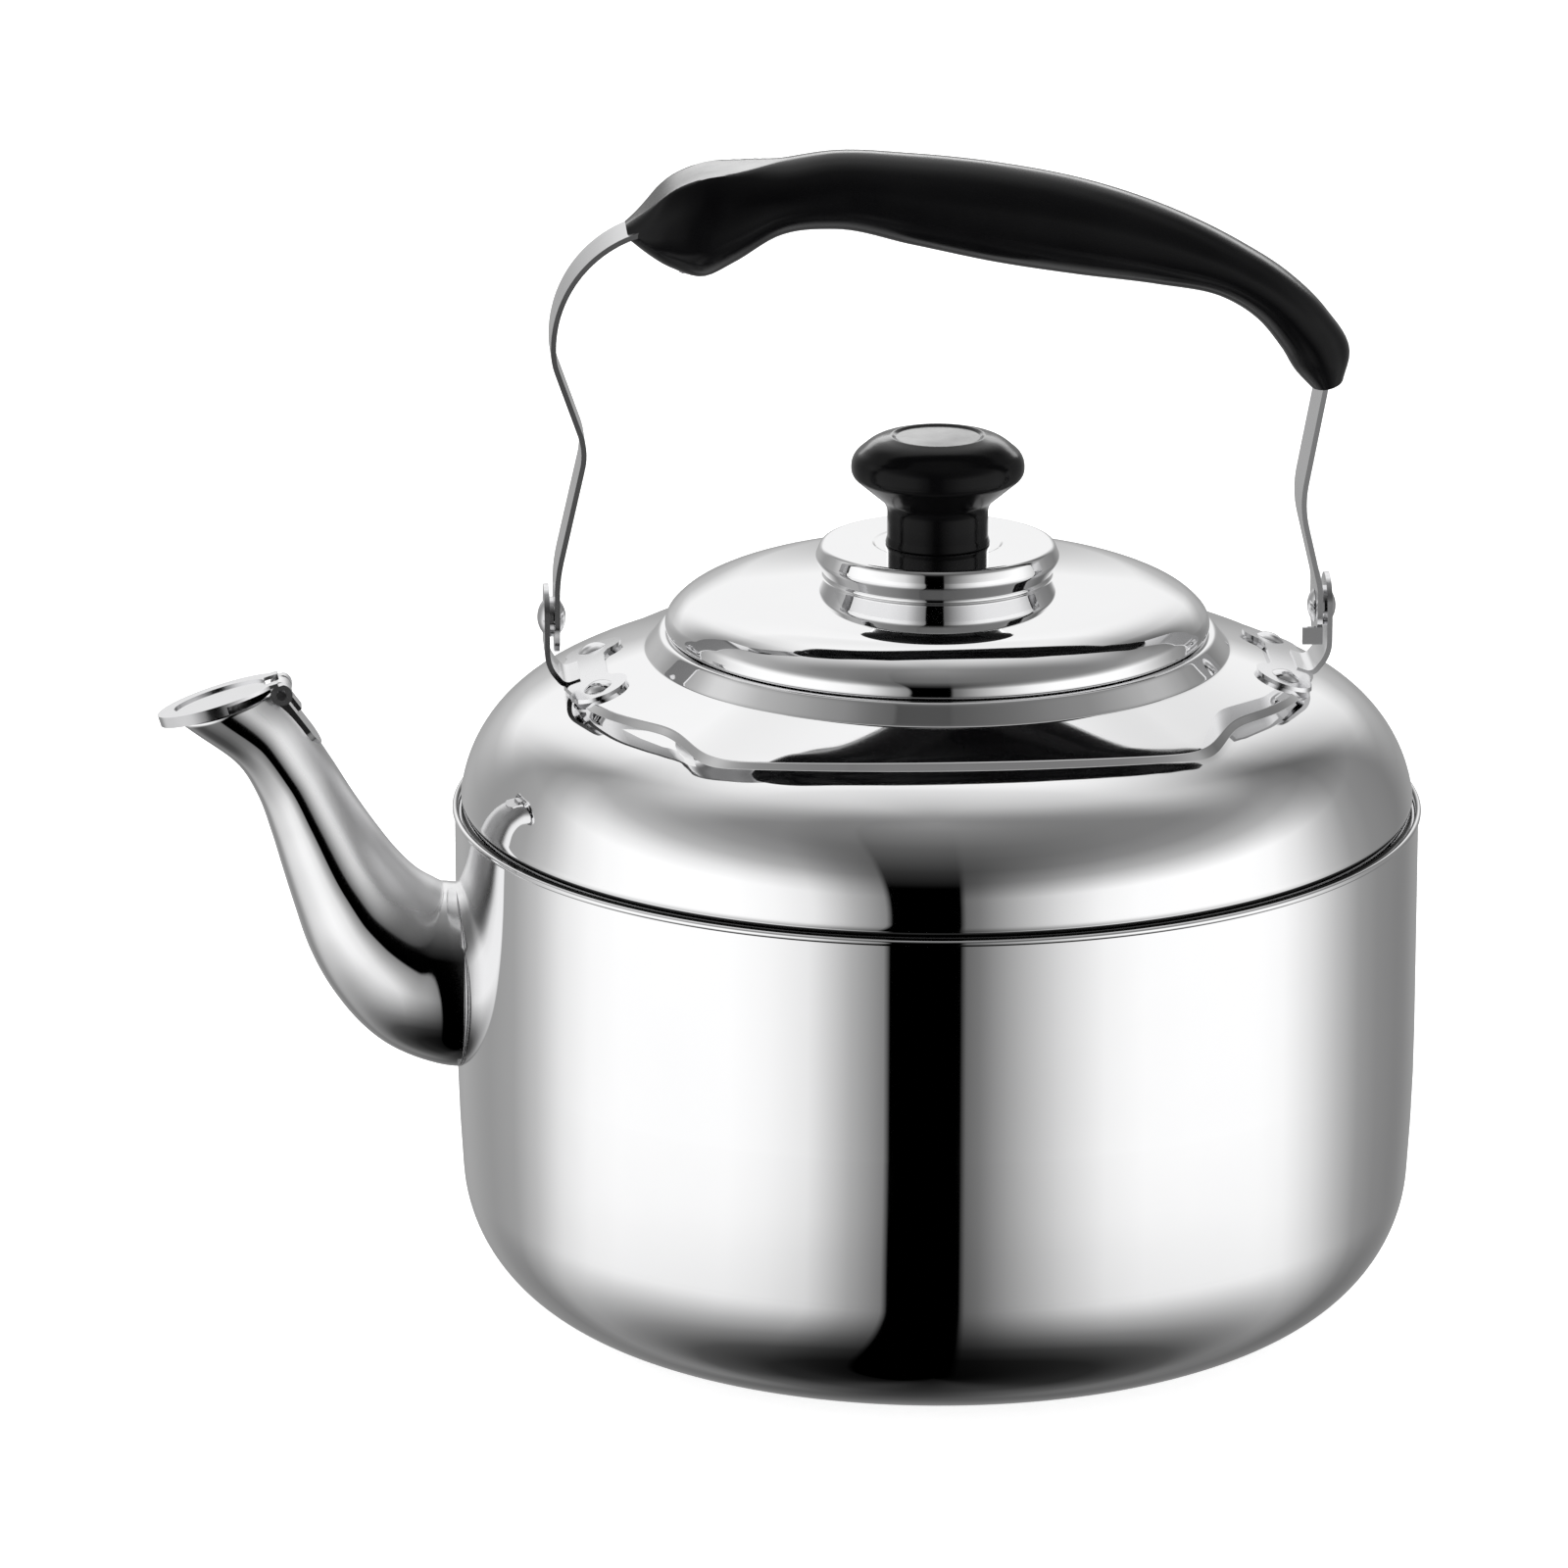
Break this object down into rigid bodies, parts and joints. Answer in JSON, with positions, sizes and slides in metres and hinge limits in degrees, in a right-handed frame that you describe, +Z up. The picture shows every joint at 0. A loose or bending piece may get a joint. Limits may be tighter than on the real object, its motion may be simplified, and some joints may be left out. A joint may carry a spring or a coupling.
{
  "type": "stovetop whistling kettle",
  "caption": "Round polished steel stovetop kettle with swan-neck spout, hinged whistle cap, lift-off lid with black knob and a swinging bail with a black moulded grip.",
  "frame": {"origin": "on the pot's axis in the plane of its flat base", "axes": "+Z up along the pot's axis, -X towards the spout, the upright bail lies in the XZ plane, Y is the bail's swing direction"},
  "size_m": [0.2892, 0.2222, 0.2708],
  "materials": {
    "polished_steel": "mirror polished stainless steel sheet",
    "satin_steel": "as-drawn stainless steel sheet, satin",
    "strap_steel": "polished stainless strip, slightly duller than the body",
    "rivet_steel": "bright cold-headed steel",
    "screw_steel": "plain steel screw",
    "black_handle": "glossy black phenolic moulding"
  },
  "bodies": {
    "kettle": {"pot": "polished_steel", "shoulder": "polished_steel", "spout": "polished_steel", "cap_hinge_bracket": "polished_steel", "cap_hinge_pin": "rivet_steel", "front_ear": "polished_steel", "rear_ear": "polished_steel", "front_ear_rivets": "rivet_steel", "rear_ear_rivets": "rivet_steel", "front_pivot_rivet": "rivet_steel", "rear_pivot_rivet": "rivet_steel", "front_pivot_washer": "rivet_steel", "rear_pivot_washer": "rivet_steel"},
    "bail": {"bail_front_leg": "strap_steel", "bail_rear_leg": "strap_steel", "grip": "black_handle", "grip_front_screw": "screw_steel", "grip_rear_screw": "screw_steel"},
    "lid": {"lid": "polished_steel", "lid_ring": "satin_steel", "knob": "black_handle", "knob_screw": "screw_steel", "knob_washer": "screw_steel"},
    "cap": {"spout_cap": "polished_steel", "whistle_cup": "satin_steel", "whistle_plate": "satin_steel"}
  },
  "joints": [
    {"name": "bail_swing", "type": "hinge", "parent": "kettle", "child": "bail", "pos_m": [0, 0, 0.1633], "axis": [1, 0, 0], "range_deg": [-90, 90]},
    {"name": "lid_lift", "type": "slide", "parent": "kettle", "child": "lid", "axis": [0, 0, 1], "range_m": [0, 0.03]},
    {"name": "cap_flip", "type": "hinge", "parent": "kettle", "child": "cap", "pos_m": [-0.1498, 0, 0.1472], "axis": [0, 1, 0], "range_deg": [0, 100]}
  ]
}
